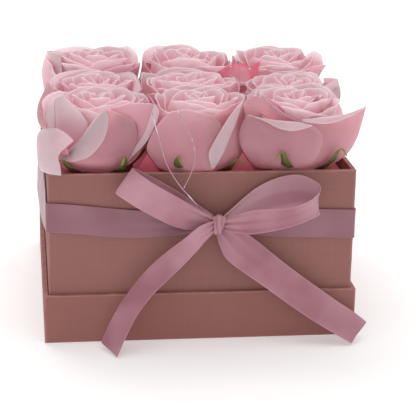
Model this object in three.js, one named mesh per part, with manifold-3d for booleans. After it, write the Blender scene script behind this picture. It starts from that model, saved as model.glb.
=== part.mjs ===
// Flower box: a square paper-covered gift box that stands in its own upturned lid and holds nine soap roses
// on a folded card insert, with a satin ribbon tied in a bow at the front.
// Millimetres. +Z is up and the bow faces -Y. The origin is the centre of the lid's underside.

import * as THREE from "three";
import { mergeVertices } from "three/addons/utils/BufferGeometryUtils.js";
import Module from "manifold-3d";

// ---------------------------------------------------------------- driving dimensions

const GAP = 0.3; // clearance between pieces that rest on each other

const BOX_SIDE = 160; // outside of the box body
const BOX_WALL = 2.2;
const BOX_FLOOR = 2.2;
const RIM_Z = 91; // top edge of the box body above the table

const LID_WALL = 2.0;
const LID_TOP = 2.2; // thickness of the lid's top panel, which lies on the table
const LID_CLEARANCE = 0.4; // between the lid's wall and the box body, on each side
const LID_DEPTH = 26; // outside height of the lid

const CARD_THICK = 1.4;
const CARD_TOP_Z = 84; // level of the insert that the roses stand on
const CARD_CLEARANCE = 0.5; // between the insert's skirts and the box wall
const PEG_HOLE_RADIUS = 5.0;
const TAB_BASE = 19; // the insert's triangular tabs, folded up between the outer roses
const TAB_HEIGHT = 15;
const TAB_FROM_CENTRE = 68;
const TAB_PLACES = [-28.3, 21.5]; // where the two tabs of each side stand along it

const ROSE_PITCH = 53; // spacing of the roses, both ways
const ROSE_SIDES = 10; // meridians of every rose layer: five petal tips and the five dips between them
const OVERHANG = 0.22; // how much further than inside the grid a rose spreads over the rim

const RIBBON_WIDTH = 16;
const RIBBON_THICK = 0.6;
const BAND_Z = 65; // middle of the ribbon round the box, at the middle of the front
const BAND_TILT = -0.04; // the ribbon sits higher at the left than at the right

const TINSEL_RADIUS = 0.25;

// ---------------------------------------------------------------- colours

const material = (color, roughness, metalness = 0) =>
  new THREE.MeshStandardMaterial({ color, roughness, metalness });

const PAPER = material(0xb98580, 0.85);
const CARD = material(0xc05a6c, 0.8);
const SEPAL = material(0x7d8238, 0.6);
const OUTER_PETAL = material(0xdca3ab, 0.6);
const MIDDLE_PETAL = material(0xe0abb2, 0.6);
const INNER_PETAL = material(0xe3b0b6, 0.6);
const BUD = material(0xe6b6bb, 0.6);
const SATIN = material(0xb98893, 0.4);
const HOT_SATIN = material(0xe0708c, 0.4);
const TINSEL = material(0xd9cfe8, 0.2, 0.3);

// ---------------------------------------------------------------- helpers

const wasm = await Module();
wasm.setup();

function toManifold(geometry) {
  const plain = geometry.clone();
  plain.deleteAttribute("normal");
  plain.deleteAttribute("uv");
  const merged = mergeVertices(plain, 1e-4);
  const index = Uint32Array.from(merged.index.array);
  const mesh = new wasm.Mesh({
    numProp: 3,
    vertProperties: Float32Array.from(merged.attributes.position.array),
    triVerts: index,
  });
  return new wasm.Manifold(mesh);
}

function fromManifold(solid) {
  const mesh = solid.getMesh();
  const geometry = new THREE.BufferGeometry();
  geometry.setAttribute("position", new THREE.BufferAttribute(mesh.vertProperties, 3));
  geometry.setIndex(new THREE.BufferAttribute(mesh.triVerts, 1));
  return geometry;
}

// Merge the seam and the poles of a turned body, so that it is one closed mesh.
function toClosed(geometry) {
  geometry.deleteAttribute("normal");
  geometry.deleteAttribute("uv");
  const merged = mergeVertices(geometry, 1e-3);
  const index = merged.index.array;
  const kept = [];
  for (let i = 0; i < index.length; i += 3) {
    const [a, b, c] = [index[i], index[i + 1], index[i + 2]];
    if (a !== b && b !== c && c !== a) kept.push(a, b, c);
  }
  merged.setIndex(kept);
  return merged;
}

function named(name, geometry, meshMaterial) {
  const mesh = new THREE.Mesh(geometry, meshMaterial);
  mesh.name = name;
  return mesh;
}

function boxBetween(side, z0, z1) {
  const geometry = new THREE.BoxGeometry(side, side, z1 - z0);
  geometry.translate(0, 0, (z0 + z1) / 2);
  return geometry;
}

// An open square tray: its outside minus its inside.
function tray(side, wall, z0, floorZ, topZ) {
  const outside = toManifold(boxBetween(side, z0, topZ));
  const inside = toManifold(boxBetween(side - 2 * wall, floorZ, topZ + 1));
  return fromManifold(outside.subtract(inside));
}

const curveThrough = (points) => new THREE.CatmullRomCurve3(points.map((p) => new THREE.Vector3(...p)));

// A thin strip of ribbon between two edge curves, with flat sides and square ends.
function strip(edgeA, edgeB, thick, steps) {
  const curveA = curveThrough(edgeA);
  const curveB = curveThrough(edgeB);
  const positions = [];
  for (let i = 0; i <= steps; i += 1) {
    const t = i / steps;
    const a = curveA.getPoint(t);
    const b = curveB.getPoint(t);
    const along = curveA.getTangent(t).add(curveB.getTangent(t)).normalize();
    const across = b.clone().sub(a).normalize();
    const lift = along.cross(across).normalize().multiplyScalar(thick / 2);
    const ring = [a.clone().add(lift), b.clone().add(lift), b.clone().sub(lift), a.clone().sub(lift)];
    for (const p of ring) positions.push(p.x, p.y, p.z);
  }
  const index = [];
  const quad = (p, q, r, s) => index.push(p, q, r, p, r, s);
  for (let i = 0; i < steps; i += 1) {
    const near = 4 * i;
    const far = near + 4;
    for (let k = 0; k < 4; k += 1) {
      const next = (k + 1) % 4;
      quad(near + k, far + k, far + next, near + next);
    }
  }
  const last = 4 * steps;
  quad(0, 1, 2, 3);
  quad(last, last + 3, last + 2, last + 1);
  const geometry = new THREE.BufferGeometry();
  geometry.setAttribute("position", new THREE.Float32BufferAttribute(positions, 3));
  geometry.setIndex(index);
  return geometry;
}

// ---------------------------------------------------------------- box, lid and insert

const lidSide = BOX_SIDE + 2 * (LID_CLEARANCE + LID_WALL);
const boxBottomZ = LID_TOP + GAP;
const boxFloorZ = boxBottomZ + BOX_FLOOR;
const innerSide = BOX_SIDE - 2 * BOX_WALL;

const rosePlaces = [];
const ROWS = [["front", -1], ["middle", 0], ["back", 1]];
const COLUMNS = [["left", -1], ["centre", 0], ["right", 1]];
for (const [row, sy] of ROWS) {
  for (const [column, sx] of COLUMNS) {
    rosePlaces.push({ name: `${row}_${column}_rose`, x: sx * ROSE_PITCH, y: sy * ROSE_PITCH, sx, sy });
  }
}

// A tab's outline: an upright triangle on the X axis.
function tabPrism(depth) {
  const outline = new THREE.Shape();
  outline.moveTo(-TAB_BASE / 2, 0);
  outline.lineTo(TAB_BASE / 2, 0);
  outline.lineTo(0, TAB_HEIGHT);
  return new THREE.ExtrudeGeometry(outline, { depth, bevelEnabled: false });
}

// Cuts a tab's opening in the card, pointing inwards, and stands the tab up on the opening's outer edge.
function foldUpTab(card, along, turn) {
  const opening = tabPrism(4 * CARD_THICK);
  opening.translate(along, -TAB_FROM_CENTRE, CARD_TOP_Z - 2 * CARD_THICK);
  opening.rotateZ(turn);
  const tab = tabPrism(CARD_THICK);
  tab.rotateX(Math.PI / 2);
  tab.translate(along, -TAB_FROM_CENTRE, CARD_TOP_Z - CARD_THICK / 2);
  tab.rotateZ(turn);
  return card.subtract(toManifold(opening)).add(toManifold(tab));
}

// A card platform: a top panel with a peg hole for each rose, four skirts down to the box's floor, and
// triangular tabs that stand up between the outer roses.
function insertCard() {
  const side = innerSide - 2 * CARD_CLEARANCE;
  const bottom = boxFloorZ + GAP;
  const outside = toManifold(boxBetween(side, bottom, CARD_TOP_Z));
  const inside = toManifold(boxBetween(side - 2 * CARD_THICK, bottom - 1, CARD_TOP_Z - CARD_THICK));
  let card = outside.subtract(inside);
  for (const { x, y } of rosePlaces) {
    const hole = new THREE.CylinderGeometry(PEG_HOLE_RADIUS, PEG_HOLE_RADIUS, 4 * CARD_THICK, 12);
    hole.rotateX(Math.PI / 2);
    hole.translate(x, y, CARD_TOP_Z);
    card = card.subtract(toManifold(hole));
  }
  for (let sideOfBox = 0; sideOfBox < 4; sideOfBox += 1) {
    for (const along of TAB_PLACES) {
      card = foldUpTab(card, along, (sideOfBox * Math.PI) / 2);
    }
  }
  return fromManifold(card);
}

// ---------------------------------------------------------------- roses

// Every layer of a rose is turned from a section of [radius, height above the insert] points, which runs out
// along the layer's underside and back along its inside. Then it is shaped into five petals or sepals, and it
// spreads over the rim on the box's outer sides.
const SECTIONS = {
  calyx: [
    [0, -14], [4, -14], [4, 0.4], [8.4, 0.4], [13, 1.2], [17, 2.2], [19.4, 3.4],
    [19, 4.1], [16.6, 3], [12.8, 2], [8, 1.6], [0, 1.6],
  ],
  outer_petals: [
    [0, 2.2], [8, 2.2], [17.8, 4.2], [21.6, 8], [24.6, 14], [25.9, 22], [25.2, 35],
    [24.1, 35], [24.7, 22.4], [23.4, 14.8], [20.6, 9.2], [17, 5.6], [7.2, 3.6], [0, 3.6],
  ],
  middle_petals: [
    [0, 4.2], [6.9, 4.2], [16, 8], [20, 14], [21.6, 24], [20.4, 39],
    [19.3, 39], [20.4, 24.4], [18.9, 14.8], [15.2, 9.4], [6.2, 5.8], [0, 5.8],
  ],
  inner_petals: [
    [0, 6.4], [5.8, 6.4], [13, 12.6], [16.4, 19.4], [16.6, 31], [14.8, 41],
    [13.7, 41], [15.4, 31], [15.2, 20], [12, 13.8], [5.2, 7.8], [0, 7.8],
  ],
  bud: [[0, 8.4], [4.2, 8.4], [11, 16], [13.4, 24], [12.4, 36], [9, 43.6], [3.8, 44.8], [0, 44]],
};

// From the height `from` up to the rim, every second meridian is a tip, which rises and spreads outwards,
// and the others are the dips between petals or sepals, which sink by `drop`.
const LOBES = {
  calyx: { from: 3, rise: 4.5, spread: 0.232, drop: 0, phase: 0 },
  outer_petals: { from: 12, rise: 0, spread: 0.01, drop: 4, phase: 0 },
  middle_petals: { from: 18, rise: 0, spread: 0.02, drop: 4, phase: 1 },
  inner_petals: { from: 20, rise: 0, spread: 0.02, drop: 3, phase: 0 },
  bud: { from: 30, rise: 0, spread: 0, drop: 0, phase: 0 },
};

const OVERHANG_FROM = 7; // height above the insert where a rose starts to spread over the rim
const OVERHANG_FULL = 18;

function roseLayer(kind, place, turn) {
  const section = SECTIONS[kind].map(([r, z]) => new THREE.Vector2(r, z));
  const geometry = new THREE.LatheGeometry(section, ROSE_SIDES);
  geometry.rotateX(Math.PI / 2);
  geometry.rotateZ(Math.PI / 2);
  const { from, rise, spread, drop, phase } = LOBES[kind];
  const rim = Math.max(...SECTIONS[kind].map(([, z]) => z));
  const position = geometry.attributes.position;
  for (let i = 0; i < position.count; i += 1) {
    const [x, y, z] = [position.getX(i), position.getY(i), position.getZ(i)];
    const meridian = Math.round((Math.atan2(y, x) / (2 * Math.PI)) * ROSE_SIDES);
    const isTip = (Math.abs(meridian) + phase) % 2 === 0;
    const up = THREE.MathUtils.clamp((z - from) / (rim - from), 0, 1) ** 2;
    const angle = Math.atan2(y, x) + turn;
    const outwardX = Math.max(0, Math.cos(angle) * place.sx);
    const outwardY = Math.max(0, Math.sin(angle) * place.sy);
    const outward = outwardX ** 2 + outwardY ** 2;
    const over = OVERHANG * outward * THREE.MathUtils.smoothstep(z, OVERHANG_FROM, OVERHANG_FULL);
    const reach = Math.hypot(x, y) * (1 + (isTip ? spread * up : 0)) * (1 + over);
    const shift = reach < 0.01 ? 0 : up * (isTip ? rise : -drop);
    position.setXYZ(i, reach * Math.cos(angle), reach * Math.sin(angle), z + shift);
  }
  return toClosed(geometry);
}

const LAYER_MATERIALS = {
  calyx: SEPAL,
  outer_petals: OUTER_PETAL,
  middle_petals: MIDDLE_PETAL,
  inner_petals: INNER_PETAL,
  bud: BUD,
};

function rose(place, turn) {
  const group = new THREE.Group();
  group.position.set(place.x, place.y, CARD_TOP_Z);
  for (const kind of Object.keys(SECTIONS)) {
    group.add(named(`${place.name}_${kind}`, roseLayer(kind, place, turn), LAYER_MATERIALS[kind]));
  }
  return group;
}

// ---------------------------------------------------------------- ribbon and bow

const bandZ = (x) => BAND_Z + BAND_TILT * x;

// The ribbon round the box: a square ring, sheared so that it sits higher at the left.
function ribbonBand() {
  const inner = BOX_SIDE / 2 + GAP;
  const outer = inner + RIBBON_THICK;
  const outside = new THREE.BoxGeometry(2 * outer, 2 * outer, RIBBON_WIDTH);
  const inside = new THREE.BoxGeometry(2 * inner, 2 * inner, RIBBON_WIDTH + 2);
  const geometry = fromManifold(toManifold(outside).subtract(toManifold(inside)));
  const position = geometry.attributes.position;
  for (let i = 0; i < position.count; i += 1) {
    position.setZ(i, position.getZ(i) + bandZ(position.getX(i)));
  }
  return geometry;
}

const KNOT = { x: 7.5, y: -86.2, z: 62.5, wide: 7.5, deep: 9.2, high: 12 };

function bowKnot() {
  const geometry = new THREE.SphereGeometry(0.5, 12, 8);
  geometry.rotateX(Math.PI / 2);
  geometry.scale(KNOT.wide, KNOT.deep, KNOT.high);
  geometry.translate(KNOT.x, KNOT.y, KNOT.z);
  return toClosed(geometry);
}

// Upper and lower edges of each piece of the bow, from the knot outwards; a loop's come back to the knot.
const BOW = {
  bow_loop_left: {
    upper: [
      [2.6, -88, 68], [-12, -94, 80.5], [-28, -95, 90.5], [-38, -90, 97], [-30, -85.5, 92.5],
      [-14, -84, 82.5], [2.2, -85.5, 69],
    ],
    lower: [
      [2.6, -88, 59.5], [-12, -94, 65], [-32, -95, 75], [-46, -90, 83.5], [-38, -85.5, 78.5],
      [-22, -84, 69.5], [2.2, -85.5, 60.5],
    ],
  },
  bow_loop_right: {
    upper: [
      [12.4, -88, 67], [25, -96, 77], [42, -101, 82], [57.5, -94, 87.5], [47, -85, 89],
      [29, -84, 83.5], [12.8, -85.5, 68.5],
    ],
    lower: [
      [12.4, -88, 59], [25, -96, 63], [43, -101, 69], [59, -94, 74.5], [49, -85, 73],
      [30, -84, 68], [12.8, -85.5, 60],
    ],
  },
  bow_tail_left: {
    upper: [
      [2, -83, 60.5], [-8, -86, 58.5], [-22, -88, 49.5], [-31, -89.5, 41], [-40, -91, 30],
      [-46.5, -91, 18.5], [-53, -91, 3],
    ],
    lower: [
      [1.5, -83, 51.5], [-10, -88, 44.5], [-20, -93, 37], [-27.5, -96, 30], [-34.5, -99, 21.5],
      [-42, -103, 9], [-46.5, -106, 1],
    ],
  },
  bow_tail_right: {
    upper: [
      [13, -83, 62], [22, -86, 59.5], [46, -88, 40.5], [67, -88, 25], [81, -88, 15], [88, -88, 9],
    ],
    lower: [
      [9, -83, 52.5], [13, -89, 45.5], [33, -93, 31], [56, -96, 14.5], [70, -97.5, 5.5], [77.5, -98, 1],
    ],
  },
};
const BOW_STEPS_PER_POINT = 3;

// ---------------------------------------------------------------- satin curl and tinsel

// The curl is a rounded scrap of hot-pink satin in the space where four of the roses meet.
const CURL = { x: 30, y: 27, z: 119, radius: 4.8, tube: 2.4 };

function satinCurl() {
  const geometry = new THREE.TorusGeometry(CURL.radius, CURL.tube, 8, 12);
  geometry.translate(CURL.x, CURL.y, CURL.z);
  return toClosed(geometry);
}

// Each strand is a bare hair of film, fine enough to lie wherever it falls over the petals.
const TINSEL_ROUTES = {
  front: [
    [-27, -80, 123], [-25.5, -86, 116.5], [-23, -87.5, 107.5], [-20.5, -88, 99], [-17, -90, 92.5],
    [-13, -92.5, 87], [-8.5, -93.5, 82], [-5, -93.5, 78],
  ],
  centre: [
    [-14, -80, 123.5], [-11, -86.5, 118], [-7.5, -88, 111], [-5.6, -88.2, 101], [-7.8, -88, 92.5],
    [-11, -87, 85],
  ],
  middle: [
    [24, 0, 124], [28, -10, 122.5], [31, -19, 123], [29.5, -25.5, 120.5], [24.5, -26, 114],
  ],
  back: [
    [45, 26.5, 119.5], [54, 26.5, 121], [69, 26.5, 120.5], [81, 27, 117.5],
  ],
};
const TINSEL_STEPS_PER_POINT = 2;
const TINSEL_SIDES = 8;

function tinselStrand(points) {
  const section = new THREE.Shape();
  for (let i = 0; i < TINSEL_SIDES; i += 1) {
    const angle = (i / TINSEL_SIDES) * 2 * Math.PI;
    const place = [TINSEL_RADIUS * Math.cos(angle), TINSEL_RADIUS * Math.sin(angle)];
    if (i === 0) section.moveTo(...place);
    else section.lineTo(...place);
  }
  return new THREE.ExtrudeGeometry(section, {
    steps: TINSEL_STEPS_PER_POINT * points.length,
    extrudePath: curveThrough(points),
  });
}

// ---------------------------------------------------------------- assembly

const flowerBox = new THREE.Group();

flowerBox.add(named("base_lid", tray(lidSide, LID_WALL, 0, LID_TOP, LID_DEPTH), PAPER));
flowerBox.add(named("box_body", tray(BOX_SIDE, BOX_WALL, boxBottomZ, boxFloorZ, RIM_Z), PAPER));
flowerBox.add(named("insert_card", insertCard(), CARD));

const TURNS = [0.2, 0.9, 0.5, 1.1, 0.0, 0.7, 0.4, 1.2, 0.8]; // each rose is turned its own way, radians
rosePlaces.forEach((place, i) => flowerBox.add(rose(place, TURNS[i])));

flowerBox.add(named("ribbon_band", ribbonBand(), SATIN));
flowerBox.add(named("bow_knot", bowKnot(), SATIN));
for (const [name, { upper, lower }] of Object.entries(BOW)) {
  const ribbon = strip(upper, lower, RIBBON_THICK, BOW_STEPS_PER_POINT * upper.length);
  flowerBox.add(named(name, ribbon, SATIN));
}
flowerBox.add(named("satin_curl", satinCurl(), HOT_SATIN));
for (const [place, points] of Object.entries(TINSEL_ROUTES)) {
  flowerBox.add(named(`tinsel_strand_${place}`, tinselStrand(points), TINSEL));
}

export default flowerBox;
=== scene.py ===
"""Blender model of a flower box: a paper gift box of nine pink soap roses, tied with a satin bow."""
import math
from functools import partial

import bpy
import numpy as np
from mathutils import Matrix, Vector


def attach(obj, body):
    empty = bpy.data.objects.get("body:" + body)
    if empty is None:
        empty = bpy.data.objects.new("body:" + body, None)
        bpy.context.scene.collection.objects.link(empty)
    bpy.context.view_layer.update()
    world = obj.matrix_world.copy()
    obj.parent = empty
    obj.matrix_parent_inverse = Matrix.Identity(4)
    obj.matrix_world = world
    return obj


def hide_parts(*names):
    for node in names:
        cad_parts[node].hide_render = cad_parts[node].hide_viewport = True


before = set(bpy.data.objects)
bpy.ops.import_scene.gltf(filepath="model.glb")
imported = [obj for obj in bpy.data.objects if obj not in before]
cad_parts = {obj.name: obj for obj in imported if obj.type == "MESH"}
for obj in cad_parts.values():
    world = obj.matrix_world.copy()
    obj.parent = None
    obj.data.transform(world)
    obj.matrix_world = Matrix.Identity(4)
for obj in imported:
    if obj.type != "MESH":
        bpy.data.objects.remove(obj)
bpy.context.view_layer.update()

MM = 0.001
RIM = 91.0  # height of the box's rim, mm
FOOT = 2.5  # height of its bottom, which stands on the lid's floor, mm
HALF = 80.0  # half the box's side, mm
LID_HALF = 82.4  # half the lid's side, mm
LID_HIGH = 26.0  # how high the lid's walls reach, mm
PITCH = 53.0  # from one rose to the next, mm
KNOT_X = 7.5  # where the ribbon is tied, to the right of the front's middle, mm


def place(name, data):
    """Adds an object to the scene."""
    obj = bpy.data.objects.new(name, data)
    bpy.context.scene.collection.objects.link(obj)
    return obj


# ---- camera
def make_camera():
    """The photograph's camera, from a perspective fit to the corners of the box and the lid."""
    cam = place("camera", bpy.data.cameras.new("camera"))
    yaw, pitch, roll = (math.radians(x) for x in (7.54, 17.64, 1.24))
    forward = Vector((math.sin(yaw) * math.cos(pitch), math.cos(yaw) * math.cos(pitch), -math.sin(pitch)))
    level = Vector((math.cos(yaw), -math.sin(yaw), 0.0))
    upright = level.cross(forward)
    right = level * math.cos(roll) + upright * math.sin(roll)
    up = upright * math.cos(roll) - level * math.sin(roll)
    turn = Matrix((right, up, -forward)).transposed().to_4x4()
    cam.matrix_world = Matrix.Translation((-0.0914, -0.7896, 0.2994)) @ turn
    cam.data.sensor_width = 36.0
    cam.data.lens = 125.57
    cam.data.clip_start, cam.data.clip_end = 0.01, 50.0
    bpy.context.scene.camera = cam


# ---- curves and meshes
def spline(points, count):
    """Points evenly along a Catmull-Rom curve through the given points."""
    p = np.array(points, float)
    p = np.vstack([2 * p[0] - p[1], p, 2 * p[-1] - p[-2]])
    fine = []
    for i in range(1, len(p) - 2):
        t = np.linspace(0, 1, 24, endpoint=False)[:, None]
        a, b, c, d = p[i - 1], p[i], p[i + 1], p[i + 2]
        fine.append(0.5 * (2 * b + (c - a) * t + (2 * a - 5 * b + 4 * c - d) * t**2
                           + (3 * b - a - 3 * c + d) * t**3))
    fine = np.vstack(fine + [p[-2][None]])
    along = distances(fine)
    at = np.linspace(0, along[-1], count)
    return np.stack([np.interp(at, along, fine[:, k]) for k in range(p.shape[1])], 1)


def distances(line):
    """How far along a line each of its points is."""
    return np.concatenate([[0], np.cumsum(np.linalg.norm(np.diff(line, axis=0), axis=1))])


def unit(vectors):
    """The same directions, one long."""
    return vectors / np.maximum(np.linalg.norm(vectors, axis=-1, keepdims=True), 1e-9)


def smooth(x, lo, hi):
    """0 up to lo, 1 from hi on, and an eased slope between them."""
    t = np.clip((x - lo) / (hi - lo), 0, 1)
    return t * t * (3 - 2 * t)


def grid_of(*parts):
    """One grid of points or UVs from each coordinate's rows, columns or grid."""
    return np.stack(np.broadcast_arrays(*parts), -1)


def phase(rng):
    """Where a random wave starts."""
    return rng.uniform(0, 6.3)


class Sheet:
    """Gathers grids of points, in mm, into one mesh, with a UV map and named values on its points."""

    def __init__(self):
        self.points, self.faces, self.uvs, self.values = [], [], [], {}
        self.size = 0  # how many points there are so far

    def grid(self, xyz, uv, closed=False, **values):
        """Adds rows by columns of points, whose last column joins the first when closed."""
        rows, columns = xyz.shape[:2]
        number = np.arange(rows * columns).reshape(rows, columns) + self.size
        if closed:
            number = np.hstack([number, number[:, :1]])
        a, b, c, d = number[:-1, :-1], number[:-1, 1:], number[1:, 1:], number[1:, :-1]
        self.faces.append(np.stack([a, b, c, d], -1).reshape(-1, 4))
        self.points.append(xyz.reshape(-1, 3))
        self.uvs.append(np.broadcast_to(uv, (rows, columns, 2)).reshape(-1, 2))
        for name, value in values.items():
            self.values.setdefault(name, []).append(np.broadcast_to(value, (rows, columns)).reshape(-1))
        self.size += rows * columns

    def make(self, name, material, thickness, inside=None):
        """The finished piece, with its thickness in mm; inside is the material of its back."""
        mesh = bpy.data.meshes.new(name)
        mesh.from_pydata((np.vstack(self.points) * MM).tolist(), [], np.vstack(self.faces).tolist())
        layer = mesh.uv_layers.new(name="UVMap")
        corner = np.empty(len(mesh.loops), int)
        mesh.loops.foreach_get("vertex_index", corner)
        layer.data.foreach_set("uv", np.vstack(self.uvs)[corner].reshape(-1))
        for key, parts in self.values.items():
            mesh.attributes.new(key, "FLOAT", "POINT").data.foreach_set("value", np.concatenate(parts))
        mesh.polygons.foreach_set("use_smooth", [True] * len(mesh.polygons))
        mesh.update()
        mesh.materials.append(material)
        obj = place(name, mesh)
        solid = obj.modifiers.new("thickness", "SOLIDIFY")
        solid.thickness, solid.offset = thickness * MM, 0.0
        if inside:
            mesh.materials.append(inside)
            solid.material_offset = 1
        sub = obj.modifiers.new("smooth", "SUBSURF")
        sub.levels = sub.render_levels = 1
        return obj


# ---- materials
class Look:
    """A Principled material, with short calls for the nodes that feed it."""

    def __init__(self, name, **sockets):
        self.material = bpy.data.materials.new(name)
        self.material.use_nodes = True
        self.nodes, self.links = self.material.node_tree.nodes, self.material.node_tree.links
        self.shader = self.nodes["Principled BSDF"]
        for key, value in sockets.items():
            self.shader.inputs[key.replace("_", " ")].default_value = value
        self.coords = self.nodes.new("ShaderNodeTexCoord")

    def feed(self, node, sockets):
        """Links each of these sockets of a node to another node's, or sets it to a value."""
        for key, value in sockets.items():
            if isinstance(value, bpy.types.NodeSocket):
                self.links.new(value, node.inputs[key])
            else:
                node.inputs[key].default_value = value
        return node

    def node(self, kind, sockets):
        return self.feed(self.nodes.new("ShaderNode" + kind), sockets)

    def attribute(self, name):
        node = self.node("Attribute", {})
        node.attribute_name = name
        return node.outputs["Fac"]

    def noise(self, scale, detail=2.0, stretch=(1, 1, 1), coords="Object", rough=0.5):
        turn = self.node("Mapping", {"Vector": self.coords.outputs[coords], "Scale": stretch})
        sockets = {"Vector": turn.outputs["Vector"], "Scale": scale, "Detail": detail, "Roughness": rough}
        return self.node("TexNoise", sockets).outputs["Fac"]

    def maths(self, operation, a, b=0.0, clamp=False):
        node = self.node("Math", {0: a, 1: b})
        node.operation, node.use_clamp = operation, clamp
        return node.outputs[0]

    def plus(self, a, b, clamp=False):
        return self.maths("ADD", a, b, clamp)

    def times(self, a, b):
        return self.maths("MULTIPLY", a, b)

    def scale(self, value, low, high, to_low=0.0, to_high=1.0):
        sockets = {"Value": value, "From Min": low, "From Max": high, "To Min": to_low, "To Max": to_high}
        return self.node("MapRange", sockets).outputs["Result"]

    def blend(self, share, first, second):
        node = self.nodes.new("ShaderNodeMix")
        node.data_type = "RGBA"
        first, second = ((*c, 1.0) if isinstance(c, tuple) else c for c in (first, second))
        return self.feed(node, {0: share, 6: first, 7: second}).outputs[2]

    def bump(self, height, strength, distance):
        node = self.node("Bump", {"Height": height, "Strength": strength, "Distance": distance})
        self.links.new(node.outputs["Normal"], self.shader.inputs["Normal"])

    def colour(self, output):
        self.links.new(output, self.shader.inputs["Base Color"])

    def rough(self, output):
        self.links.new(output, self.shader.inputs["Roughness"])

    def axes(self):
        return self.node("SeparateXYZ", {0: self.coords.outputs["Object"]}).outputs


def paper_look(name, base, dark, half, top, bottom):
    """Linen-embossed cover paper, paler along the folded edges of a box of that half width, top
    and bottom, in mm: partly rubbed wear, partly a painted edge highlight."""
    half, top, bottom = half * MM, top * MM, bottom * MM
    look = Look(name, Specular_IOR_Level=0.2)
    x, y, z = look.axes()
    threads = look.noise(900, 2.0, (1, 1, 0.06))
    weft = look.noise(900, 2.0, (0.06, 0.06, 1))
    weave = look.times(look.plus(threads, weft), 0.5)
    cloud = look.noise(16, 3.0)
    tone = look.plus(look.times(look.scale(weave, 0.35, 0.65), 0.55),
                     look.times(look.scale(cloud, 0.3, 0.7), 0.45))
    body = look.blend(tone, dark, base)
    from_corner = look.maths("MAXIMUM", look.maths("SUBTRACT", half, look.maths("ABSOLUTE", x)),
                             look.maths("SUBTRACT", half, look.maths("ABSOLUTE", y)))
    corner = look.scale(from_corner, 0.0, 0.0013, 1.0, 0.0)
    lip = look.scale(look.maths("SUBTRACT", top, z), 0.0, 0.0009, 1.0, 0.0)
    foot = look.scale(look.maths("SUBTRACT", z, bottom), 0.0, 0.0009, 0.6, 0.0)
    edge = look.maths("MAXIMUM", corner, look.maths("MAXIMUM", lip, foot))
    # paler folded edges: partly rubbed wear, partly a painted edge highlight
    rubbed_and_highlit = look.times(edge, look.scale(look.noise(160, 3.0), 0.3, 0.62, 0.25, 1.0))
    pale = tuple(min(1.0, c * 1.5 + 0.05) for c in base)
    look.colour(look.blend(look.times(rubbed_and_highlit, 0.75), body, pale))
    look.rough(look.scale(weave, 0.3, 0.7, 0.62, 0.8))
    look.bump(look.plus(weave, look.times(cloud, 0.6)), 0.35, 0.00025)
    return look.material


def petal_look(name, pale, rosy, deep, soak=0.95, glow=0.045):
    """Thin pressed soap: matt and translucent, paler towards its edge, with painted shade and bounce light as
    saturated pink at its foot and in creases. The faint glow stands for the light that comes through the soap
    from behind."""
    look = Look(name, Roughness=0.55, Specular_IOR_Level=0.2, Sheen_Weight=0.08, Sheen_Roughness=0.5,
                Subsurface_Weight=soak, Subsurface_Scale=0.005, Subsurface_Radius=(1.0, 0.75, 0.78),
                Emission_Color=(1.0, 0.5, 0.56, 1.0), Emission_Strength=glow)
    cloud = look.noise(60, 4.0)
    border = look.scale(look.attribute("edge"), 0.45, 1.0)
    light = look.plus(look.scale(cloud, 0.32, 0.9, 0.0, 0.7), look.times(border, 0.4), True)
    body = look.blend(light, rosy, pale)
    # painted shade and bounce light: an ambient-occlusion mask and the low attribute turn creases and the
    # petal's foot deep pink
    crease = look.node("AmbientOcclusion", {"Distance": 0.009})
    crease.samples = 6
    painted_crease_shade = look.scale(crease.outputs["AO"], 0.15, 0.8, 0.52, 0.0)
    look.colour(look.blend(look.maths("MAXIMUM", look.attribute("low"), painted_crease_shade), body, deep))
    linen = look.plus(look.noise(1500, 1.0, (1, 1, 0.12)), look.noise(1500, 1.0, (0.12, 0.12, 1)))
    veins = look.noise(9, 4.0, (7, 1.0, 1), coords="UV")
    height = look.plus(look.times(linen, 0.25), look.times(cloud, 0.8))
    look.bump(look.plus(height, look.times(veins, 0.7)), 0.3, 0.0006)
    return look.material


def satin_look(name, base, light, gloss=0.55):
    """Woven satin: a soft lengthwise sheen, fine threads, a slow cloudy lustre painted into its colour as
    lighter patches, and a tight selvedge.
    """
    look = Look(name, Roughness=0.3, Specular_IOR_Level=gloss, Anisotropic=0.6, Sheen_Weight=0.3,
                Sheen_Roughness=0.3, Sheen_Tint=(1.0, 0.78, 0.86, 1.0), Subsurface_Weight=0.08,
                Subsurface_Scale=0.001)
    edge = look.attribute("edge")
    cloud = look.noise(38, 2.0, rough=0.4)
    # painted sheen: cloudy patches of the lighter colour stand for the satin's lustre
    body = look.blend(look.scale(cloud, 0.34, 0.66), base, light)
    look.colour(look.blend(look.times(look.scale(edge, 0.9, 0.97), 0.5), body, light))
    warp = look.noise(900, 2.0, (0.05, 1, 1), coords="UV")
    rib = look.scale(edge, 0.9, 0.96)
    look.bump(look.plus(look.times(warp, 0.5), look.times(rib, 0.6)), 0.25, 0.00015)
    return look.material


def card_look(name, base, dark):
    """Thick dyed card with a little fibre in it."""
    look = Look(name, Roughness=0.7, Specular_IOR_Level=0.25)
    fibres = look.noise(500, 4.0)
    cloud = look.noise(40, 3.0)
    tone = look.plus(look.times(cloud, 0.7), look.times(fibres, 0.3))
    look.colour(look.blend(look.scale(tone, 0.35, 0.65), dark, base))
    look.bump(fibres, 0.25, 0.0002)
    return look.material


def sepal_look(name):
    """Moulded green plastic, yellower towards the sepals' tips."""
    look = Look(name, Roughness=0.5, Specular_IOR_Level=0.4, Subsurface_Weight=0.08, Subsurface_Scale=0.001)
    cloud = look.noise(180, 3.0)
    tip = look.attribute("tip")
    body = look.blend(look.scale(cloud, 0.3, 0.7), (0.062, 0.07, 0.018), (0.125, 0.13, 0.035))
    look.colour(look.blend(look.scale(tip, 0.35, 1.0), body, (0.33, 0.33, 0.1)))
    look.bump(look.noise(500, 2.0, (1, 1, 0.3)), 0.25, 0.0003)
    return look.material


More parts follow.
